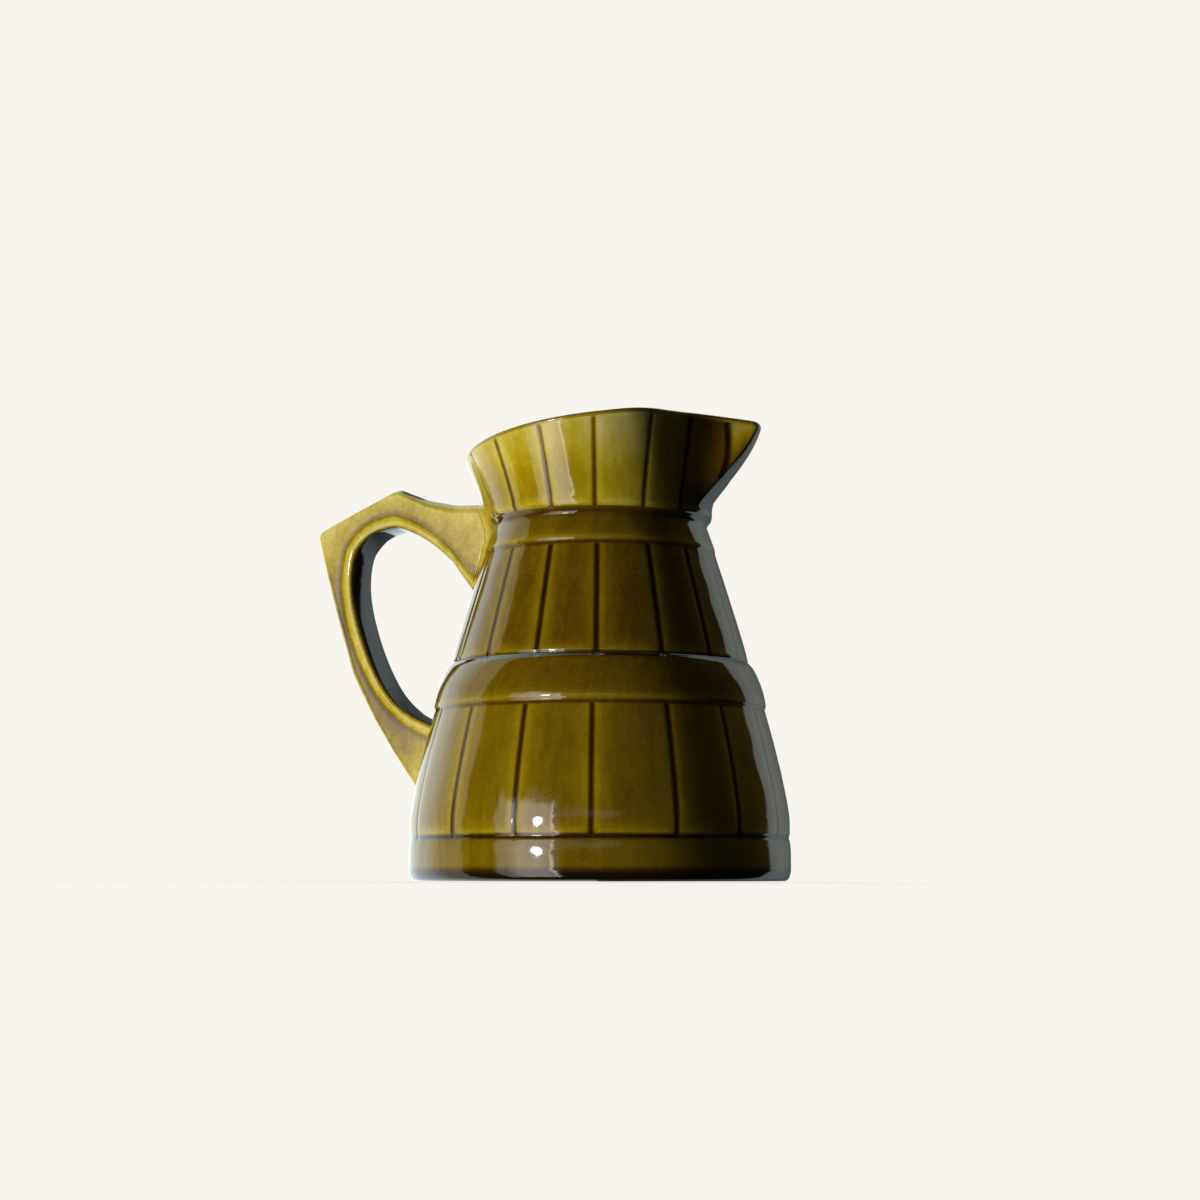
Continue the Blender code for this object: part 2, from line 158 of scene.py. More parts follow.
# Limits in degrees, with their soft edge: window and lamp from low to high, right wall round the room.
WINDOW_LIMITS, LAMP_LIMITS, RIGHT_LIMITS = (-45.0, 19.0, 1.5), (7.0, 15.0, 2.0), (121.0, 210.0, 1.0)
RIPPLE_SCALE, RIPPLE_AROUND, RIPPLE_UP = 7.0, 9.0, 8.0
DARK_ROOM, FILL_LIGHT = (0.012, 0.012, 0.012), (0.016, 0.016, 0.018)

# Distant lamps: azimuth (0 being -Y), elevation, strength, angular size, and whether only the glaze's
# mirror shows them. The key light comes from below the horizon, and the floor lets it through.
LAMPS = {
    "key": (-36.0, -9.0, 3.9, 16.0, False),
    "sparkle": (-12.4, 3.8, 0.35, 6.5, True),
    "back": (212.0, 25.0, 1.5, 40.0, False),
    "side": (162.0, 17.0, 1.2, 20.0, False),
    "top": (20.0, 80.0, 0.3, 60.0, False),
}

# ---- the glaze's look ------------------------------------------------------------------------------
# Glaze value and colour, from thin yellow through olive to the brown-black of a deep pool.
GLAZE_COLOURS = (
    (0.00, (0.70, 0.60, 0.25)),
    (0.12, (0.56, 0.45, 0.060)),
    (0.20, (0.46, 0.345, 0.014)),
    (0.27, (0.37, 0.26, 0.003)),
    (0.37, (0.24, 0.16, 0.002)),
    (0.48, (0.16, 0.10, 0.0006)),
    (0.57, (0.10, 0.055, 0.0004)),
    (0.70, (0.05, 0.024, 0.0004)),
    (0.85, (0.018, 0.008, 0.0006)),
    (1.00, (0.008, 0.005, 0.001)),
)
GLAZE_IOR = 1.7
# Noise scales are in features per metre. The first of each pair is a scale, the second a strength.
BLOTCHES, GRAIN, STREAKS = (90.0, 0.16), (700.0, 0.13), (420.0, 0.12)
STREAK_STRETCH = (1.0, 1.0, 0.12)
GLOSS_NOISE, SURFACE_NOISE = (900.0, 0.06), (380.0, 0.6)
CRACK_CELLS, CRACK_EDGES, CRACK_PATCHES, CRACK_SPARSENESS = 95.0, (0.004, 0.016), 45.0, 0.45
CRACK_WARP_SCALE, CRACK_WARP = 160.0, 0.006
CRACK_PALENESS, CRACK_DEPTH = -0.07, 0.35
BUMP_STRENGTH, BUMP_DISTANCE = 0.30, 0.00004


# ---- small helpers ---------------------------------------------------------------------------------
def smooth(value, low, high):
    """0 below low, 1 above high, and a smooth step between."""
    share = np.clip((value - low) / (high - low), 0.0, 1.0)
    return share * share * (3.0 - 2.0 * share)


def bell(value, centre, spread):
    """1 at the centre, falling away to 0 on both sides."""
    return np.exp(-((value - centre) / spread) ** 2)


def spaced(start, stop, step):
    """Even steps of about the given size from start, stop left out."""
    count = max(1, round((stop - start) / step))
    return [start + (stop - start) * index / count for index in range(count)]


def grid_faces(rows, columns):
    """Quads over a grid whose last column meets its first."""
    lower = np.arange((rows - 1) * columns).reshape(rows - 1, columns)
    beside = np.roll(lower, -1, axis=1)
    return np.stack((lower, beside, beside + columns, lower + columns), axis=-1).reshape(-1, 4)


def grid_object(name, points, glaze, material):
    """A closed, smooth-shaded mesh over a (rows, columns, 3) grid in mm, capped at both ends."""
    rows, columns, _ = points.shape
    centres = np.array((points[0].mean(axis=0), points[-1].mean(axis=0)))
    vertices = np.concatenate((points.reshape(-1, 3), centres)) * MM
    faces = grid_faces(rows, columns).tolist()
    first, last = rows * columns, (rows - 1) * columns
    for column in range(columns):
        beside = (column + 1) % columns
        faces.append((beside, column, first))
        faces.append((last + column, last + beside, first + 1))
    mesh = bpy.data.meshes.new(name)
    mesh.from_pydata(vertices.tolist(), [], faces)
    values = np.concatenate((glaze.reshape(-1), (glaze[0].mean(), glaze[-1].mean())))
    mesh.attributes.new("glaze", "FLOAT", "POINT").data.foreach_set("value", values.astype(np.float32))
    shell = bmesh.new()
    shell.from_mesh(mesh)
    bmesh.ops.recalc_face_normals(shell, faces=shell.faces)
    shell.to_mesh(mesh)
    shell.free()
    mesh.materials.append(material)
    caps = np.arange(len(mesh.polygons)) >= len(mesh.polygons) - 2 * columns
    mesh.polygons.foreach_set("use_smooth", ~caps)
    piece = bpy.data.objects.new(name, mesh)
    bpy.context.scene.collection.objects.link(piece)
    return piece


def wobble(points):
    """Slow hand-made unevenness, a few hundredths of a millimetre deep."""
    waves = ((0.52, 0.31, 0.38, 0.0), (-0.41, 0.55, 0.29, 1.3), (0.23, -0.47, 0.61, 2.9),
             (0.75, 0.12, -0.42, 4.1), (-0.18, -0.66, -0.55, 5.2), (0.05, 0.09, 0.81, 0.7))
    total = np.zeros(points.shape[:-1])
    for across, along, up, phase in waves:
        total += np.sin(points[..., 0] * across + points[..., 1] * along + points[..., 2] * up + phase)
    return total / len(waves)


# ---- the wall's shape ------------------------------------------------------------------------------
def trunk_radius(z):
    """Outer radius below the mouth tier, before bands, creases and grooves."""
    rise = np.clip((z - SWELL_START) / (BELLY_BAND[0] - SWELL_START), 0.0, 1.0)
    swell = BASE_RADIUS - LOWER_TIER_SWELL * rise ** SWELL_POWER
    cone = CONE_FOOT_RADIUS - CONE_TAPER * (z - BELLY_BAND[0])
    above_belly = np.maximum(z - BELLY_BAND[1], 0.0)
    inset = MIDDLE_TIER_INSET * np.exp(-above_belly / INSET_FADE) * (z > BELLY_BAND[1])
    return np.where(z < BELLY_BAND[0], swell, cone - inset)


def wrapped_degrees(angle):
    """Degrees from the spout, the same to both sides."""
    return np.abs(np.degrees(np.mod(angle + math.pi, 2.0 * math.pi) - math.pi))


def spout_falloff(angle, blunt, crest):
    """1 on the spout's crest, crest degrees to each side, and falling away beside it."""
    beside = np.maximum(wrapped_degrees(angle) - crest, 0.0)
    return np.exp(-(np.hypot(beside, blunt) - blunt) / SPOUT_SPREAD)


def rim_height(angle):
    """The rim rises towards the spout, with a slight shoulder beside it and a droop at its tip."""
    toward_spout = np.cos(angle)
    level = RIM_MEAN_HEIGHT + RIM_RISE * toward_spout - RIM_SAG * toward_spout ** 2
    level = level + RIM_SHOULDER * bell(wrapped_degrees(angle), RIM_SHOULDER_ANGLE, RIM_SHOULDER_SPREAD)
    return level - SPOUT_DROOP * spout_falloff(angle, SPOUT_BLUNT, CREST_HALF_ANGLE)


def mouth_radius(angle, share):
    """The mouth tier's radius without its spout, share running from its foot (0) to the rim (1)."""
    pinch = PINCH * bell(wrapped_degrees(angle), PINCH_ANGLE, PINCH_SPREAD)
    rim = MOUTH_RADIUS + MOUTH_OVAL * np.sin(angle) ** 2 - pinch
    flare = FLARE_STRAIGHT * share + FLARE_CURVED * share ** 2
    return MOUTH_TIER_RADIUS + (rim - MOUTH_TIER_RADIUS) * flare


def mouth_tier_point(angle, share):
    """Radius and height on the mouth tier, spout included."""
    climb = np.maximum(0.0, share - SPOUT_START) / (1.0 - SPOUT_START)
    lift = np.sin(0.5 * math.pi * climb) ** SPOUT_LIFT_POWER
    crest = CREST_HALF_ANGLE + CREST_WIDENING * (1.0 - share)
    radius = mouth_radius(angle, share) + SPOUT_REACH * lift * spout_falloff(angle, SPOUT_BLUNT, crest)
    return radius, MOUTH_TIER_BOTTOM + (rim_height(angle) - MOUTH_TIER_BOTTOM) * share


def trunk_profile(z):
    """The trunk's outer radius with foot, bands and creases, but without grooves."""
    radius = trunk_radius(z)
    radius = radius + FOOT_BAND_SWELL * smooth(z, *FOOT_SWELL_START) * (1.0 - smooth(z, *FOOT_SWELL_END))
    foot = np.clip((FOOT_ROUND - z) / FOOT_ROUND, 0.0, 1.0)
    radius = radius - (BASE_RADIUS - UNDERSIDE_RADIUS) * (1.0 - np.sqrt(1.0 - foot ** 2))
    radius = radius - CREASE_DEPTH * bell(z, FOOT_BAND_TOP, CREASE_SPREAD)
    bands = ((BELLY_BAND, BELLY_BULGE, CREASE_DEPTH), (NECK_BAND, 0.0, NECK_CREASE_DEPTH))
    for (bottom, top), bulge, crease in bands:
        share = np.clip((z - bottom) / (top - bottom), 0.0, 1.0)
        inside = smooth(z, bottom - LEDGE_HALF_HEIGHT, bottom + LEDGE_HALF_HEIGHT) * (1.0 - share)
        radius = radius + BAND_RELIEF * inside + bulge * 4.0 * share * (1.0 - share)
        radius = radius - crease * bell(z, top, CREASE_SPREAD)
    return radius + (MOUTH_TIER_RADIUS - radius) * smooth(z, *NECK_BLEND)


def surface_radius(angle, z):
    """Outer radius at any height, bands included, grooves and spout left out."""
    share = np.clip((z - MOUTH_TIER_BOTTOM) / (rim_height(angle) - MOUTH_TIER_BOTTOM), 0.0, 1.0)
    return np.where(z > MOUTH_TIER_BOTTOM, mouth_radius(angle, share), trunk_profile(z))


# ---- grooves and glaze -----------------------------------------------------------------------------
def groove_distance(angle, radius):
    """Distance round the wall to the nearest joint between staves."""
    offsets = angle[:, None] - np.array(JOINT_ANGLES)[None, :]
    return np.abs(offsets).min(axis=1) * radius


def groove_cut(distance, width):
    """Depth of a groove and of the shallow dip round it."""
    return GROOVE_DEPTH * bell(distance, 0.0, width) + SHOULDER_DIP * bell(distance, 0.0, 3.0 * width)


def groove_pool(distance, half_width):
    """1 in the dark line where glaze fills a groove, with a soft edge."""
    return 1.0 / (1.0 + np.exp((distance - half_width) / POOL_SOFTNESS))


def groove_glow(distance, half_width):
    """Thin glaze on the shoulders beside a groove."""
    return np.exp(-np.maximum(distance - 1.6 * half_width, 0.0) / 2.1)


def trunk_grooves(angle, radius, z):
    """Distance to the nearest groove of the lower and middle tiers, which end in rounded tips."""
    across = groove_distance(angle, radius)
    nearest = np.full_like(across, NO_GROOVE)
    for low, band_above in ((FOOT_BAND_TOP, BELLY_BAND[0]), (BELLY_BAND[1], NECK_BAND[0])):
        past = max(0.0, z - (band_above - GROOVE_END), low - z)
        nearest = np.minimum(nearest, np.hypot(across, past))
    return nearest


def in_tier(z, crease, band_above):
    """1 on the staves between a crease and the band above them, with soft ends."""
    return smooth(z, crease, crease + 1.0) * (1.0 - smooth(z, band_above - 2.2, band_above - 0.8))


def trunk_glaze(z, distance):
    """The glaze value below the mouth tier at one height."""
    in_low, in_middle = in_tier(z, FOOT_BAND_TOP, BELLY_BAND[0]), in_tier(z, BELLY_BAND[1], NECK_BAND[0])
    value = TRUNK_GLAZE - 0.05 * in_low + 0.03 * in_middle - 0.06 * float(z < FOOT_BAND_TOP)

    # Thin glaze beside the grooves, above the creases and on the edges of the bands.
    glow = groove_glow(distance, GROOVE_POOL) * (in_low + in_middle)
    for crease in (FOOT_BAND_TOP, BELLY_BAND[1]):
        glow = np.maximum(glow, math.exp(-max(0.0, z - crease - 1.2) / 1.9) * float(z > crease))
    for ledge in (BELLY_BAND[0], NECK_BAND[0]):
        glow = np.maximum(glow, 0.95 * math.exp(-abs(z - ledge - 0.6) / 1.1))

    # Thick glaze in the creases and grooves, and round the foot, where pooled glaze is deepened with painted
    # shade.
    pools = sum(added * bell(z, height, spread) for height, spread, added in CREASE_POOLS)
    pools = pools + 0.54 * groove_pool(distance, GROOVE_POOL) * (in_low + in_middle)
    # Round the foot: pooled glaze, made darker still as painted shade.
    pools = pools + 0.50 * (1.0 - smooth(z, FOOT_POOL_AND_SHADE_TOP - 2.0, FOOT_POOL_AND_SHADE_TOP + 1.6))
    return value - 0.20 * glow + pools


def spout_panel_distance(angle, share, stretch):
    """Distance to the two grooves that frame the spout's pointed front panel."""
    opening = (share - SPOUT_PANEL_APEX) / (1.0 - SPOUT_PANEL_APEX)
    half_angle = SPOUT_PANEL_ANGLE * (0.75 + 0.25 * np.maximum(0.0, opening))
    offset = np.radians(wrapped_degrees(angle)) - half_angle
    return np.hypot(np.abs(offset) * stretch, np.maximum(0.0, -opening) * BELOW_APEX)


def mouth_grooves(angle, radius, z, share):
    """Distance to the nearest groove of the mouth tier."""
    across = groove_distance(angle, radius)
    across = np.where(wrapped_degrees(angle) < 180.0 / STAVES, NO_GROOVE, across)
    past_top = np.maximum(0.0, z - (rim_height(angle) - GROOVE_END))
    slope = np.gradient(radius, angle)
    panel = spout_panel_distance(angle, share, np.hypot(radius, slope))
    return np.minimum(np.hypot(across, past_top), np.hypot(panel, past_top))


def mouth_glaze(z, distance, top, angle):
    """The glaze value on the mouth tier: paler towards the rim, partly thin glaze and partly painted light,
    and darker on the spout's flanks as painted shade.
    """
    from_spout = wrapped_degrees(angle)
    above_foot, below_rim = z - MOUTH_TIER_BOTTOM, top - z
    share = above_foot / (above_foot + below_rim)

    # Paler beside the pinch and towards the rim, darker towards the handle: painted light and shade that
    # follow how the key light falls across the tier.
    value = MOUTH_GLAZE - 0.065 * bell(from_spout, 54.0, 15.0)
    value = value + 0.035 * smooth(from_spout, 58.0, 80.0) + 0.045 * smooth(from_spout, 92.0, 122.0)
    value = value - 0.15 * smooth(share, 0.25, 0.85) * smooth(from_spout, 33.0, 42.0)

    # Painted shade: the spout's flank is darkened, and so is the lower part of its front panel below its lit
    # top.
    flank = smooth(from_spout, 5.5, 7.5)
    value = value + 0.34 * flank * (1.0 - smooth(from_spout, 15.0, 31.0))
    value = value + 0.30 * (1.0 - flank) * (1.0 - smooth(share, 0.45, 0.90))

    # Thin glaze beside the grooves, above the foot, under the rim and down the spout's crest.
    glow = np.maximum(groove_glow(distance, MOUTH_GROOVE_POOL), np.exp(-np.abs(above_foot - 1.1) / 1.4))
    glow = np.maximum(glow, 0.7 * np.exp(-np.abs(below_rim - 1.6) / 1.1))
    glow = np.maximum(glow, 0.6 * np.exp(-from_spout / 1.6))

    # Thick glaze in the grooves, at the foot and along the rim.
    near_spout = 1.0 - smooth(from_spout, 9.0, 13.0)
    half_width = MOUTH_GROOVE_POOL + (SPOUT_GROOVE_POOL - MOUTH_GROOVE_POOL) * near_spout
    pools = 0.52 * groove_pool(distance, half_width)
    pools = pools + 0.20 * bell(np.maximum(above_foot + 1.0, 0.0), 0.0, 1.0)
    pools = pools + 0.10 * bell(np.maximum(below_rim - 0.6, 0.0), 0.0, 0.5)
    return value - 0.13 * glow + pools


# ---- body ------------------------------------------------------------------------------------------
def row_angles(radius):
    """Angles round one ring: close together beside each groove, and all over the spout."""
    beside, clear = np.array(BESIDE_GROOVE) / radius, GROOVE_CLEARANCE / radius
    angles = []
    for stave in range(STAVES):
        width = JOINT_ANGLES[stave + 1] - JOINT_ANGLES[stave]
        before = width - beside[:0:-1]
        steps = np.concatenate((beside, np.linspace(clear, width - clear, 7), before))
        if stave in (0, STAVES - 1):
            tip = np.radians(np.arange(0.0, SPOUT_TIP_DEGREES, SPOUT_TIP_STEP))
            rest = np.linspace(math.radians(SPOUT_TIP_DEGREES), width - clear, 6)
            steps = np.concatenate((tip, rest, before))
        if stave == STAVES - 1:
            steps = np.concatenate(((0.0,), width - steps[:0:-1]))
        angles.append(JOINT_ANGLES[stave] + steps)
    return np.concatenate(angles)


def polar(radius, angle, z):
    """Points on a ring round the axis."""
    return np.stack((radius * np.cos(angle), radius * np.sin(angle), z + 0.0 * angle), axis=-1)


def tier_twist(z):
    """The middle tier's joints stand a little off those above and below."""
    return MIDDLE_TIER_TWIST * smooth(z, *TWIST_START) * (1.0 - smooth(z, *TWIST_END))


def trunk_row(z):
    """One ring of the trunk's outside: its points and their glaze values."""
    angle = row_angles(float(trunk_radius(z)))
    radius = trunk_profile(z) + 0.0 * angle
    distance = trunk_grooves(angle, radius, z)
    cut = groove_cut(distance, GROOVE_WIDTH)
    return polar(radius - cut, angle + tier_twist(z), z), trunk_glaze(z, distance)


def lip_share(angle):
    """Share of the mouth tier's height where the lip starts to round over; lower at the spout's tip."""
    depth = LIP_ROUND + TIP_ROUND * spout_falloff(angle, SPOUT_BLUNT, CREST_HALF_ANGLE)
    return 1.0 - depth / (rim_height(angle) - MOUTH_TIER_BOTTOM)


def mouth_row(portion):
    """One ring of the mouth tier, portion running from its foot (0) to where the lip starts (1)."""
    angle = row_angles(MOUTH_TIER_RADIUS + RING_FLARE * portion)
    share = portion * lip_share(angle)
    radius, z = mouth_tier_point(angle, share)
    distance = mouth_grooves(angle, radius, z, share)
    bulge = MOUTH_FOOT_BULGE * bell(z, MOUTH_TIER_BOTTOM + MOUTH_FOOT_BULGE_RISE, MOUTH_FOOT_BULGE_SPREAD)
    glaze = mouth_glaze(z, distance, rim_height(angle), angle)
    return polar(radius + bulge - groove_cut(distance, MOUTH_GROOVE_WIDTH), angle, z), glaze


def inner_mouth_radius(angle, share):
    """The inside of the mouth tier, with a thicker wall behind the spout."""
    outer, _ = mouth_tier_point(angle, share)
    wall = WALL + (RIM_WALL - WALL) * share
    fill = SPOUT_INNER_FILL * share * spout_falloff(angle, 2.0 * SPOUT_BLUNT, CREST_HALF_ANGLE)
    return outer - wall - fill


def lip_row(turn):
    """One ring over the rim, turn running from the outside (0) to the inside (1)."""
    angle = row_angles(MOUTH_RADIUS)
    start = lip_share(angle)
    outer, low = mouth_tier_point(angle, start)
    edge, top = mouth_tier_point(angle, 1.0)
    inner = inner_mouth_radius(angle, 1.0)
    outer = outer + 0.7 * (edge - outer) * math.sin(math.pi * min(turn, 0.5))
    across = 0.5 - 0.5 * math.cos(math.pi * turn)
    down = (top - low) * (1.0 - math.sin(math.pi * turn) ** 0.9)
    glaze = LIP_GLAZE + 0.42 * bell(turn, 0.30, 0.14) + 0.0 * angle
    return polar(outer + (inner - outer) * across, angle, top - down), glaze


def inner_mouth_row(share):
    angle = row_angles(MOUTH_TIER_RADIUS + RING_FLARE * share)
    _, z = mouth_tier_point(angle, share)
    return polar(inner_mouth_radius(angle, share), angle, z), INNER_MOUTH_GLAZE + 0.0 * angle


def inner_trunk_row(radius, z):
    angle = row_angles(radius)
    floor_pool = 0.3 * math.exp(-max(0.0, z - FLOOR_HEIGHT) / 5.0)
    return polar(radius, angle, z), INNER_TRUNK_GLAZE + floor_pool + 0.0 * angle


def body_rows():
    """All rings from the underside over the rim to the inside floor."""
    heights = [z for start, stop, step in TRUNK_STEPS for z in spaced(start, stop, step)]
    rows = [trunk_row(z) for z in heights]
    rows += [mouth_row(portion) for portion in np.linspace(0.0, 1.0, 62)[:-1]]
    rows += [lip_row(turn) for turn in np.linspace(0.0, 1.0, 15)]
    rows += [inner_mouth_row(share) for share in np.linspace(0.9, 0.06, 12)]
    rows += [inner_trunk_row(float(trunk_radius(z)) - WALL, z) for z in INNER_HEIGHTS]
    rows += [inner_trunk_row(BASE_RADIUS - WALL - inward, z) for inward, z in INNER_CORNER]
    return rows


def make_body(material):
    rows = body_rows()
    points = np.array([row[0] for row in rows])
    outward = points * (1.0, 1.0, 0.0)
    outward /= np.linalg.norm(outward, axis=-1, keepdims=True)
    points = points + outward * UNEVENNESS * wobble(points)[..., None]
    return grid_object("jug_body", points, np.array([row[1] for row in rows]), material)


# ---- handle ----------------------------------------------------------------------------------------
def catmull(values, index, share):
    """A point on the smooth curve through values, between index and index + 1."""
    before, start = values[max(index - 1, 0)], values[index]
    end, after = values[index + 1], values[min(index + 2, len(values) - 1)]
    slope_in, slope_out = 0.5 * (end - before), 0.5 * (after - start)
    square, cube = share ** 2, share ** 3
    return ((2 * cube - 3 * square + 1) * start + (cube - 2 * square + share) * slope_in
            + (3 * square - 2 * cube) * end + (cube - square) * slope_out)


def soften(points, passes):
    """Rounds the corners of a dense open line and keeps its ends."""
    for _ in range(passes):
        points[1:-1] = 0.25 * points[:-2] + 0.5 * points[1:-1] + 0.25 * points[2:]
    return points


def handle_edges():
    """Outer edge, inner edge and side rounding along the handle, from the upper root to the lower."""
    outer, inner, rounding = [np.array(values) for values in zip(*HANDLE_STATIONS)]
    last = len(HANDLE_STATIONS) - 1
    outer_line, inner_line, rounding_line = [], [], []
    for step in range(last * HANDLE_STEPS + 1):
        index = min(step // HANDLE_STEPS, last - 1)
        share = step / HANDLE_STEPS - index
        outer_line.append(outer[index] + (outer[index + 1] - outer[index]) * share)
        inner_line.append(catmull(inner, index, share))
        rounding_line.append(rounding[index] + (rounding[index + 1] - rounding[index]) * share)
    outer_line = soften(np.array(outer_line), OUTER_SOFTENING)
    return outer_line, soften(np.array(inner_line), INNER_SOFTENING), np.array(rounding_line)


def side_width(depth, from_inner, rounding):
    """Half the handle's width: rounded off at the outer edge, flat, a valley, then a bead."""
    slope = np.clip(1.0 - depth / rounding, 0.0, 1.0) ** 1.9
    flat = FACE_HALF_WIDTH - (FACE_HALF_WIDTH - OUTER_HALF_WIDTH) * slope
    flat = flat - VALLEY_DEPTH * bell(from_inner, VALLEY, 1.1)
    flat = flat + (BEAD_HALF_WIDTH - FACE_HALF_WIDTH) * bell(from_inner, BEAD_CREST, 1.5)
    turn = np.clip(1.0 - from_inner / BEAD_CREST, 0.0, 1.0)
    bead = BEAD_HALF_WIDTH - (BEAD_HALF_WIDTH - INNER_HALF_WIDTH) * (1.0 - np.sqrt(1.0 - turn ** 2))
    return np.where(from_inner < BEAD_CREST, bead, flat)


def side_glaze(depth, from_inner, thickness, grip):
    """The glaze value across the handle's side, darker in the valley and on the grip's flat, and darkened as
    painted shade where the bead turns in to the inner face.
    """
    glaze = SIDE_GLAZE + 0.12 * smooth(depth, 0.5, max(3.0, thickness - 5.5))
    glaze = glaze + 0.22 * bell(from_inner, VALLEY, 0.95)
    glaze = glaze + 0.18 * grip * smooth(depth, 0.5, 1.6) * smooth(from_inner, 4.2, 5.2)
    glaze = glaze - 0.13 * bell(from_inner, BEAD_CREST + 0.5, 1.5) - 0.08 * np.exp(-depth / 0.7)
    # Painted shade on the bead's inner turn, running into the near-black inner face.
    return glaze + 0.60 * (1.0 - smooth(from_inner, 0.0, 0.6))


def half_section(thickness, rounding, grip):
    """One side of the handle's section: depth from the outer edge, half-width, glaze value."""
    reach = min(BEAD_REACH, thickness - rounding - 0.6)
    near = rounding * np.linspace(0.0, 1.0, 13) ** 1.5
    face = np.linspace(rounding, thickness - reach - 0.2, 8)[1:]
    bead = thickness - reach * np.cos(np.linspace(0.0, 0.5 * math.pi, 20))[1:]
    depth = np.concatenate((near, face, bead))
    from_inner = thickness - depth
    return depth, side_width(depth, from_inner, rounding), side_glaze(depth, from_inner, thickness, grip)


def section_loop(thickness, rounding, grip):
    """The whole section as a loop: depth, sideways offset and glaze value of every point."""
    depth, width, glaze = half_section(thickness, rounding, grip)
    across = np.linspace(-1.0, 1.0, 9)[1:-1]
    crown = 1.0 - across ** 2
    outer = (-0.12 * crown, OUTER_HALF_WIDTH * across, np.full(7, OUTER_EDGE_GLAZE))
    # The inner face takes a near-black value: painted shade.
    inner = (thickness + 0.35 * crown, -INNER_HALF_WIDTH * across, np.full(7, INNER_FACE_SHADE_GLAZE))
    sides = (depth, width, glaze), (depth[::-1], -width[::-1], glaze[::-1])
    return [np.concatenate(parts) for parts in zip(outer, sides[0], inner, sides[1])]


def wall_reach(y, z):
    """Distance from the axis plane to the wall behind the handle."""
    nearby = [surface_radius(math.pi, z + shift) for shift in (-1.2, -0.6, 0.0, 0.6, 1.2)]
    return np.sqrt(np.maximum.reduce(nearby) ** 2 - y ** 2)


def handle_rings():
    """The handle's sections from the upper root to the lower, and their glaze values."""
    outer, inner, rounding = handle_edges()
    rings, glazes = [], []
    for start, end, side in zip(outer, inner, rounding):
        thickness = float(np.hypot(*(end - start)))
        grip = float(smooth(start[1], 28.0, 40.0) * (1.0 - smooth(start[1], 100.0, 112.0)))
        depth, y, glaze = section_loop(thickness, side, grip)
        line = start + (end - start) * (depth / thickness)[:, None]
        rings.append(np.stack((-line[:, 0], y, line[:, 1]), axis=-1))
        glazes.append(glaze)
    return np.array(rings), np.array(glazes)


def keep_off_root(rings):
    """Spreads the first rings evenly between each root, which follows the wall, and the first station."""
    for end, step in ((0, 1), (-1, -1)):
        root, station = rings[end][:, 0], rings[end + step * HANDLE_STEPS][:, 0].copy()
        for index in range(1, HANDLE_STEPS):
            rings[end + step * index][:, 0] = root + (station - root) * index / HANDLE_STEPS
    return rings


def make_handle(material):
    rings, glazes = handle_rings()
    for end in (0, -1):
        y, z = rings[end][:, 1], rings[end][:, 2]
        rings[end][:, 0] = -(wall_reach(y, z) + ROOT_OFFSET - ROOT_OVERLAP)
    rings = keep_off_root(rings)
    sideways = HANDLE_UNEVENNESS * wobble(rings * HANDLE_WOBBLE_SCALE)[..., None]
    rings = rings + sideways * (0.0, 1.0, 0.0)
    return grid_object("jug_handle", rings, glazes, material), rings, glazes


def outline_normals(y, z):
    """Outward directions of a closed outline in the Y-Z plane."""
    along_y, along_z = np.roll(y, -1) - np.roll(y, 1), np.roll(z, -1) - np.roll(z, 1)
    length = np.maximum(np.hypot(along_y, along_z), 1e-6)
    normal_y, normal_z = along_z / length, -along_y / length
    outward = np.sign(np.sum(normal_y * (y - y.mean()) + normal_z * (z - z.mean())))
    return outward * normal_y, outward * normal_z


def make_collar(name, ring, ring_glaze, material):
    """The slip that joins the handle to the wall: a hollow fillet that runs out on the wall."""
    y, z = ring[:, 1], ring[:, 2]
    normal_y, normal_z = outline_normals(y, z)
    rings, glazes = [], []
    for share in np.linspace(0.0, 1.0, 15):
        turn = 0.5 * math.pi * share
        out = FILLET * (1.0 - math.cos(turn)) + FILLET_GAP
        off = (ROOT_OFFSET - FILLET_TOP) * (1.0 - math.sin(turn))
        rim_y, rim_z = y + normal_y * out, z + normal_z * out
        rings.append(np.stack((-(wall_reach(rim_y, rim_z) + off), rim_y, rim_z), axis=-1))
        own = ring_glaze + (SLIP_GLAZE - ring_glaze) * smooth(share, 0.15, 0.7)
        glazes.append(own + 0.40 * bell(share, 0.92, 0.16))
    buried = rings[-1].copy()
    buried[:, 0] += BURIED
    rings.append(buried)
    glazes.append(glazes[-1])
    return grid_object(name, np.array(rings), np.array(glazes), material)


# ---- materials -------------------------------------------------------------------------------------
def add(tree, kind, **sockets):
    """Adds one shader node; numbers set its inputs by name."""
    node = tree.nodes.new(kind)
    for name, value in sockets.items():
        node.inputs[name.replace("_", " ")].default_value = value
    return node


def math_node(tree, operation, first, second=None, third=None):
    """One sum over numbers or the outputs of other nodes."""
    node = tree.nodes.new("ShaderNodeMath")
    node.operation = operation
    for socket, value in zip(node.inputs, (first, second, third)):
        if isinstance(value, bpy.types.NodeSocket):
            tree.links.new(value, socket)
        elif value is not None:
            socket.default_value = value
    return node.outputs[0]


def noise(tree, place, scale, detail=2.0, stretch=None):
    """Noise over object coordinates, centred on 0; scale is in features per metre."""
    if stretch:
        mapping = tree.nodes.new("ShaderNodeMapping")
        mapping.inputs["Scale"].default_value = stretch
        tree.links.new(place, mapping.inputs["Vector"])
        place = mapping.outputs[0]
    node = add(tree, "ShaderNodeTexNoise", Scale=scale, Detail=detail)
    tree.links.new(place, node.inputs["Vector"])
    return math_node(tree, "SUBTRACT", node.outputs["Fac"], 0.5)


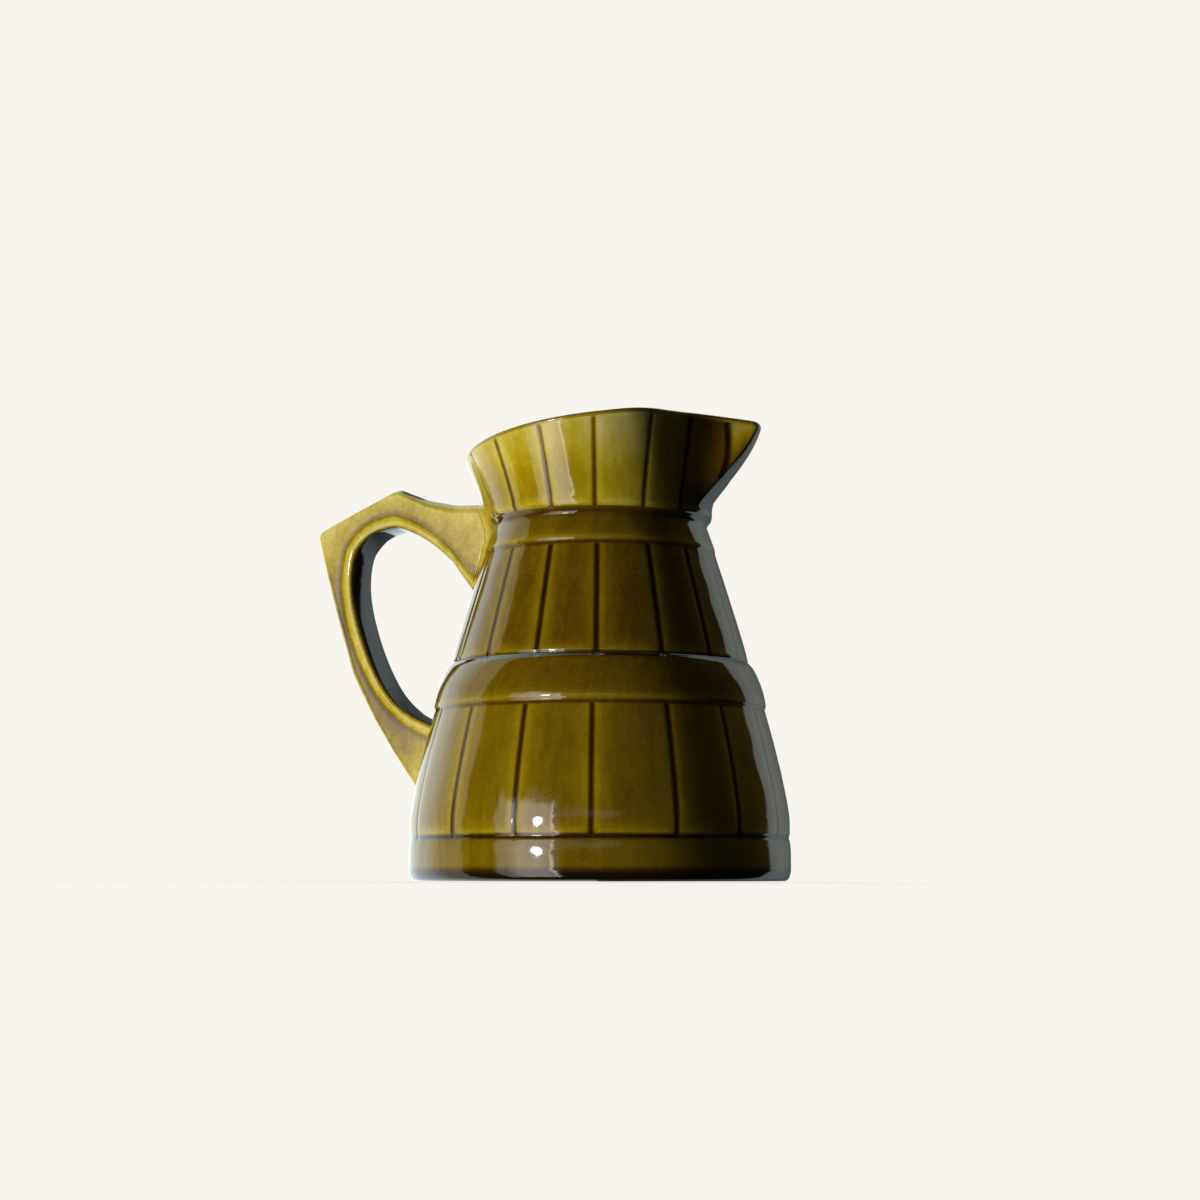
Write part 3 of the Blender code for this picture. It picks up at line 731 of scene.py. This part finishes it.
def glaze_colours(tree, value):
    ramp = tree.nodes.new("ShaderNodeValToRGB")
    elements = ramp.color_ramp.elements
    while len(elements) < len(GLAZE_COLOURS):
        elements.new(0.5)
    for element, (position, colour) in zip(elements, GLAZE_COLOURS):
        element.position = position
        element.color = (*colour, 1.0)
    tree.links.new(value, ramp.inputs["Fac"])
    return ramp.outputs["Color"]


def hairlines(tree, place):
    """1 on the fine crazing cracks of an aged glaze, and only on some of them."""
    warp = add(tree, "ShaderNodeTexNoise", Scale=CRACK_WARP_SCALE, Detail=2.0)
    tree.links.new(place, warp.inputs["Vector"])
    shift = tree.nodes.new("ShaderNodeVectorMath")
    shift.operation = "MULTIPLY_ADD"
    tree.links.new(warp.outputs["Color"], shift.inputs[0])
    shift.inputs[1].default_value = (CRACK_WARP,) * 3
    tree.links.new(place, shift.inputs[2])
    cells = add(tree, "ShaderNodeTexVoronoi", Scale=CRACK_CELLS)
    cells.feature = "DISTANCE_TO_EDGE"
    tree.links.new(shift.outputs[0], cells.inputs["Vector"])
    line = tree.nodes.new("ShaderNodeMapRange")
    line.inputs["From Min"].default_value, line.inputs["From Max"].default_value = CRACK_EDGES
    line.inputs["To Min"].default_value, line.inputs["To Max"].default_value = 1.0, 0.0
    tree.links.new(cells.outputs["Distance"], line.inputs["Value"])
    patches = math_node(tree, "ADD", noise(tree, place, CRACK_PATCHES), CRACK_SPARSENESS)
    return math_node(tree, "MULTIPLY", line.outputs["Result"], patches)


def glaze_material(name, mottling, roughness, slot_colour):
    """Glossy glaze, coloured by the points' glaze values with blotches, grain, streaks and crazing."""
    material = bpy.data.materials.new(name)
    material.use_nodes = True
    material.diffuse_color = (*slot_colour, 1.0)
    tree = material.node_tree
    shader = tree.nodes["Principled BSDF"]
    place = tree.nodes.new("ShaderNodeTexCoord").outputs["Object"]
    glaze = tree.nodes.new("ShaderNodeAttribute")
    glaze.attribute_name = "glaze"

    value = glaze.outputs["Fac"]
    for scale, amount in (BLOTCHES, GRAIN):
        value = math_node(tree, "MULTIPLY_ADD", noise(tree, place, scale, 3.0), amount * mottling, value)
    scale, amount = STREAKS
    streaks = noise(tree, place, scale, 2.0, STREAK_STRETCH)
    value = math_node(tree, "MULTIPLY_ADD", streaks, amount, value)
    cracks = hairlines(tree, place)
    value = math_node(tree, "MULTIPLY_ADD", cracks, CRACK_PALENESS, value)
    tree.links.new(glaze_colours(tree, value), shader.inputs["Base Color"])

    scale, amount = GLOSS_NOISE
    uneven = math_node(tree, "MULTIPLY_ADD", noise(tree, place, scale), amount, roughness)
    tree.links.new(uneven, shader.inputs["Roughness"])
    shader.inputs["IOR"].default_value = GLAZE_IOR
    shallow = math_node(tree, "MULTIPLY", cracks, CRACK_DEPTH)
    scale, amount = SURFACE_NOISE
    height = math_node(tree, "MULTIPLY_ADD", noise(tree, place, scale), amount, shallow)
    bump = add(tree, "ShaderNodeBump", Strength=BUMP_STRENGTH, Distance=BUMP_DISTANCE)
    tree.links.new(height, bump.inputs["Height"])
    tree.links.new(bump.outputs["Normal"], shader.inputs["Normal"])
    return material


# ---- studio ----------------------------------------------------------------------------------------
def floor_material():
    material = bpy.data.materials.new("pale_floor")
    material.use_nodes = True
    tree = material.node_tree
    shader = tree.nodes["Principled BSDF"]
    shader.inputs["Roughness"].default_value = 0.9
    shader.inputs["Specular IOR Level"].default_value = 0.0
    shader.inputs["Base Color"].default_value = (*FLOOR_COLOUR, 1.0)
    shader.inputs["Emission Color"].default_value = (*PALE, 1.0)
    shader.inputs["Emission Strength"].default_value = FLOOR_GLOW
    return material


def make_floor():
    """A plain floor that casts no shadow, and that the glaze neither mirrors nor is lit by."""
    mesh = bpy.data.meshes.new("floor")
    corners = [(x * FLOOR_REACH, y * FLOOR_REACH, 0.0) for x, y in ((-1, -1), (1, -1), (1, 1), (-1, 1))]
    mesh.from_pydata(corners, [], [(0, 1, 2, 3)])
    mesh.materials.append(floor_material())
    floor = bpy.data.objects.new("floor", mesh)
    bpy.context.scene.collection.objects.link(floor)
    floor.visible_glossy = False
    floor.visible_diffuse = False
    floor.visible_shadow = False


def between(tree, value, low, high, soft):
    """1 where value lies between low and high, with edges soft to each side."""
    above = tree.nodes.new("ShaderNodeMapRange")
    below = tree.nodes.new("ShaderNodeMapRange")
    for node, edge in ((above, low), (below, high)):
        node.inputs["From Min"].default_value = edge - soft
        node.inputs["From Max"].default_value = edge + soft
        tree.links.new(value, node.inputs["Value"])
    inverse = math_node(tree, "SUBTRACT", 1.0, below.outputs["Result"])
    return math_node(tree, "MULTIPLY", above.outputs["Result"], inverse)


def scaled(tree, mask, colour):
    node = tree.nodes.new("ShaderNodeVectorMath")
    node.operation = "SCALE"
    node.inputs[0].default_value = colour
    tree.links.new(mask, node.inputs["Scale"])
    return node.outputs[0]


def summed(tree, vectors):
    total = vectors[0]
    for vector in vectors[1:]:
        node = tree.nodes.new("ShaderNodeVectorMath")
        node.operation = "ADD"
        tree.links.new(total, node.inputs[0])
        tree.links.new(vector, node.inputs[1])
        total = node.outputs[0]
    return total


def room_angles(tree):
    """Angle round the room, 0 being the camera's side and negative its left, and angle up, in degrees."""
    direction = tree.nodes.new("ShaderNodeTexCoord").outputs["Generated"]
    dots = []
    for axis in (TOWARD_CAMERA, TO_THE_RIGHT):
        dot = tree.nodes.new("ShaderNodeVectorMath")
        dot.operation = "DOT_PRODUCT"
        tree.links.new(direction, dot.inputs[0])
        dot.inputs[1].default_value = axis
        dots.append(dot.outputs["Value"])
    split = tree.nodes.new("ShaderNodeSeparateXYZ")
    tree.links.new(direction, split.inputs[0])
    around = math_node(tree, "DEGREES", math_node(tree, "ARCTAN2", dots[1], dots[0]))
    up = math_node(tree, "DEGREES", math_node(tree, "ARCSINE", split.outputs["Z"]))
    ripple = noise(tree, direction, RIPPLE_SCALE, 3.0)
    rippled = math_node(tree, "MULTIPLY_ADD", ripple, RIPPLE_AROUND, around)
    return rippled, math_node(tree, "MULTIPLY_ADD", ripple, RIPPLE_UP, up)


def mirrored_room(tree):
    """What the glaze mirrors: walls to the left and right, a window and a lamp in front, a dim room."""
    around, up = room_angles(tree)
    window_height, lamp_height = between(tree, up, *WINDOW_LIMITS), between(tree, up, *LAMP_LIMITS)
    right_edge = between(tree, around, *RIGHT_LIMITS)
    dim = tree.nodes.new("ShaderNodeCombineXYZ")
    for socket, level in zip(dim.inputs, DARK_ROOM):
        socket.default_value = level
    views = [dim.outputs[0]]
    kinds = ((LEFT_WALL, None), (RIGHT_WALL, right_edge), (WINDOW, window_height), (FAR_LAMP, lamp_height))
    for bands, limit in kinds:
        for low, high, soft, colour in bands:
            mask = between(tree, around, low, high, soft)
            if limit:
                mask = math_node(tree, "MULTIPLY", mask, limit)
            views.append(scaled(tree, mask, colour))
    return summed(tree, views)


def background(tree, colour):
    """Light of a fixed colour, or of the colour that another node gives."""
    node = tree.nodes.new("ShaderNodeBackground")
    if isinstance(colour, bpy.types.NodeSocket):
        tree.links.new(colour, node.inputs["Color"])
    else:
        node.inputs["Color"].default_value = (*colour, 1.0)
    return node.outputs[0]


def choose(tree, switch, otherwise, chosen):
    """The chosen shader where switch is 1, and the other where it is 0."""
    node = tree.nodes.new("ShaderNodeMixShader")
    for socket, value in zip(node.inputs, (switch, otherwise, chosen)):
        tree.links.new(value, socket)
    return node.outputs[0]


def make_world():
    """Pale to the eye, dim as fill light, and a room with a window to the glaze's mirror."""
    world = bpy.data.worlds.new("studio")
    bpy.context.scene.world = world
    world.use_nodes = True
    tree = world.node_tree
    tree.nodes.clear()
    rays = tree.nodes.new("ShaderNodeLightPath")
    fill = background(tree, FILL_LIGHT)
    mirrored = choose(tree, rays.outputs["Is Glossy Ray"], fill, background(tree, mirrored_room(tree)))
    seen = choose(tree, rays.outputs["Is Camera Ray"], mirrored, background(tree, PALE))
    output = tree.nodes.new("ShaderNodeOutputWorld")
    tree.links.new(seen, output.inputs["Surface"])


def make_lights():
    for name, (azimuth, elevation, strength, angle, mirrored) in LAMPS.items():
        lamp = bpy.data.lights.new(name, "SUN")
        lamp.energy, lamp.angle = strength, math.radians(angle)
        sun = bpy.data.objects.new(name, lamp)
        sun.rotation_euler = (math.radians(90.0 - elevation), 0.0, math.radians(azimuth))
        sun.visible_glossy, sun.visible_diffuse = mirrored, not mirrored
        bpy.context.scene.collection.objects.link(sun)


def make_camera():
    camera = bpy.data.objects.new("camera", bpy.data.cameras.new("camera"))
    camera.data.lens = CAMERA_LENS
    camera.data.sensor_width = CAMERA_SENSOR
    camera.data.clip_start = 0.01
    camera.location = [CAMERA_DISTANCE * toward for toward in TOWARD_CAMERA]
    camera.location[2] = CAMERA_HEIGHT
    camera.rotation_euler = (0.5 * math.pi + CAMERA_PITCH, 0.0, CAMERA_AZIMUTH)
    bpy.context.scene.collection.objects.link(camera)
    bpy.context.scene.camera = camera


def make_jug():
    olive = glaze_material("olive_majolica", mottling=0.6, roughness=0.055, slot_colour=(0.125, 0.095, 0.006))
    amber = glaze_material("amber_majolica", mottling=1.6, roughness=0.075, slot_colour=(0.300, 0.230, 0.045))
    slip = glaze_material("slip_majolica", mottling=1.0, roughness=0.065, slot_colour=(0.080, 0.062, 0.010))
    body = make_body(olive)
    handle, rings, glazes = make_handle(amber)
    upper = make_collar("jug_upper_slip", rings[0], glazes[0], slip)
    lower = make_collar("jug_lower_slip", rings[-1], glazes[-1], slip)
    for piece, node, slot in ((body, "body", "olive_glaze"),
                              (handle, "handle", "amber_glaze"),
                              (upper, "upper_luting_slip", "slip_glaze"),
                              (lower, "lower_luting_slip", "slip_glaze")):
        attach(piece, "root")
        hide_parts(node)


def main():
    make_camera()
    make_jug()
    make_floor()
    make_world()
    make_lights()
    bpy.context.scene.view_settings.view_transform = "Standard"


main()
